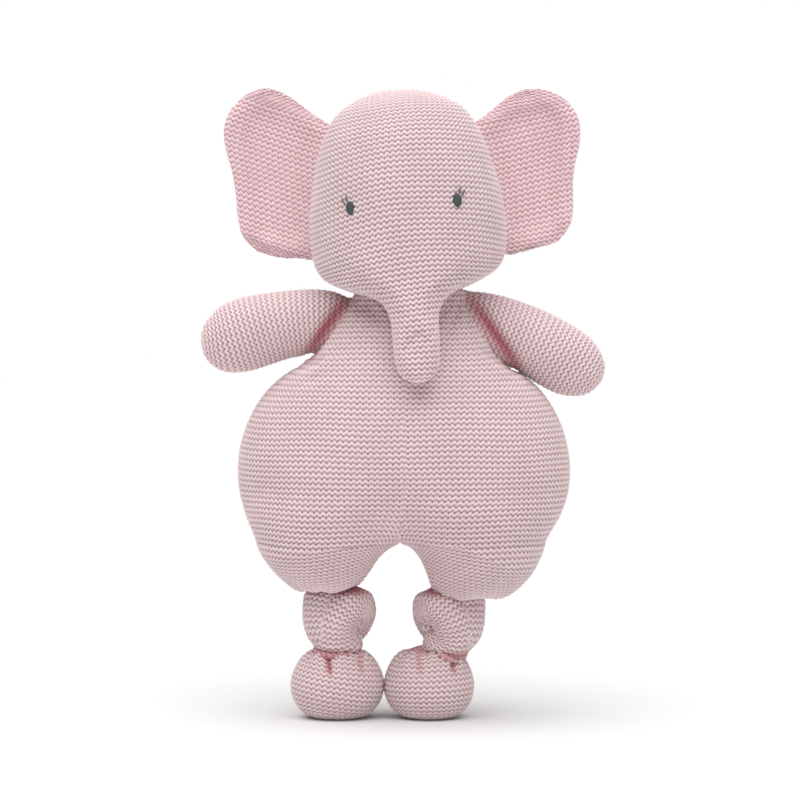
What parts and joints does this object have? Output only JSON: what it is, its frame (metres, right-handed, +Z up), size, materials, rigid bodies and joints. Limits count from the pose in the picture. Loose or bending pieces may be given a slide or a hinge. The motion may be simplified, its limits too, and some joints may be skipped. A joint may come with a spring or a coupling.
{
  "type": "stuffed elephant",
  "caption": "Knitted soft elephant with round flat ears, a hanging trunk, stub arms, a pear-shaped body, and legs tied in knots above round feet.",
  "frame": {"origin": "on the floor under the middle of the toy's bounding box", "axes": "+Z up, the face looks along -Y, +X on a viewer's right"},
  "size_m": [0.2084, 0.108, 0.3304],
  "materials": {
    "head_knit": "matt knitted cotton",
    "body_knit": "matt knitted cotton",
    "ear_knit": "matt knitted cotton",
    "filling": "loose polyester fibre",
    "seam_thread": "twisted sewing thread",
    "eye_thread": "satin-stitched embroidery thread",
    "label_ribbon": "blank woven ribbon"
  },
  "bodies": {
    "root": {"body_front_panel": "body_knit", "body_back_panel": "body_knit", "body_stuffing": "filling", "care_label": "label_ribbon"},
    "neck": {"neck_seam_thread": "seam_thread"},
    "head": {"head_front_panel": "head_knit", "head_back_panel": "head_knit", "head_stuffing": "filling", "left_eye": "eye_thread", "left_eye_lashes": "eye_thread", "right_eye": "eye_thread", "right_eye_lashes": "eye_thread"},
    "trunk": {"trunk_cover": "head_knit", "trunk_stuffing": "filling"},
    "left_ear": {"left_ear_front": "ear_knit", "left_ear_back": "ear_knit", "left_ear_wadding": "filling", "left_ear_seam_thread": "seam_thread"},
    "left_arm": {"left_arm_cover": "body_knit", "left_arm_stuffing": "filling", "left_shoulder_thread": "seam_thread"},
    "left_leg": {"left_leg_knot": "body_knit"},
    "left_foot": {"left_foot_cover": "body_knit", "left_foot_stuffing": "filling"},
    "right_ear": {"right_ear_front": "ear_knit", "right_ear_back": "ear_knit", "right_ear_wadding": "filling", "right_ear_seam_thread": "seam_thread"},
    "right_arm": {"right_arm_cover": "body_knit", "right_arm_stuffing": "filling", "right_shoulder_thread": "seam_thread"},
    "right_leg": {"right_leg_knot": "body_knit"},
    "right_foot": {"right_foot_cover": "body_knit", "right_foot_stuffing": "filling"}
  },
  "joints": [
    {"name": "neck_turn", "type": "hinge", "parent": "root", "child": "neck", "pos_m": [0.0045, 0.0053, 0.232], "axis": [0, 0, 1], "range_deg": [-30, 30], "stiffness_Nm_per_rad": 0.3},
    {"name": "head_nod", "type": "hinge", "parent": "neck", "child": "head", "pos_m": [0.0045, 0.0053, 0.232], "axis": [-1, 0, 0], "range_deg": [0, 10], "stiffness_Nm_per_rad": 0.4},
    {"name": "trunk_lift", "type": "hinge", "parent": "head", "child": "trunk", "pos_m": [0.0045, -0.0327, 0.232], "axis": [-0.9974, 0, -0.0715], "range_deg": [0, 50], "stiffness_Nm_per_rad": 0.02},
    {"name": "left_ear_flap", "type": "hinge", "parent": "head", "child": "left_ear", "pos_m": [-0.05483, 0.0133, 0.23649], "axis": [0.1019, 0, 0.9948], "range_deg": [-25, 50], "stiffness_Nm_per_rad": 0.03},
    {"name": "right_ear_flap", "type": "hinge", "parent": "head", "child": "right_ear", "pos_m": [0.06258, 0.0133, 0.2449], "axis": [0.2428, 0, -0.9701], "range_deg": [-25, 50], "stiffness_Nm_per_rad": 0.03},
    {"name": "left_arm_swing", "type": "hinge", "parent": "root", "child": "left_arm", "pos_m": [-0.0389, 0.0053, 0.2078], "axis": [0, 0, 1], "range_deg": [-20, 55], "stiffness_Nm_per_rad": 0.05},
    {"name": "right_arm_swing", "type": "hinge", "parent": "root", "child": "right_arm", "pos_m": [0.0441, 0.0053, 0.2062], "axis": [0, 0, -1], "range_deg": [-20, 55], "stiffness_Nm_per_rad": 0.05},
    {"name": "left_leg_swing", "type": "hinge", "parent": "root", "child": "left_leg", "pos_m": [-0.0334, 0.0053, 0.067], "axis": [-1, 0, 0], "range_deg": [-25, 40], "stiffness_Nm_per_rad": 2},
    {"name": "right_leg_swing", "type": "hinge", "parent": "root", "child": "right_leg", "pos_m": [0.027, 0.0053, 0.067], "axis": [-1, 0, 0], "range_deg": [-25, 40], "stiffness_Nm_per_rad": 2},
    {"name": "left_foot_tilt", "type": "hinge", "parent": "left_leg", "child": "left_foot", "pos_m": [-0.0338, 0.0053, 0.034], "axis": [-1, 0, 0], "range_deg": [-20, 20], "stiffness_Nm_per_rad": 2},
    {"name": "right_foot_tilt", "type": "hinge", "parent": "right_leg", "child": "right_foot", "pos_m": [0.0185, 0.0053, 0.034], "axis": [-1, 0, 0], "range_deg": [-20, 20], "stiffness_Nm_per_rad": 2}
  ]
}
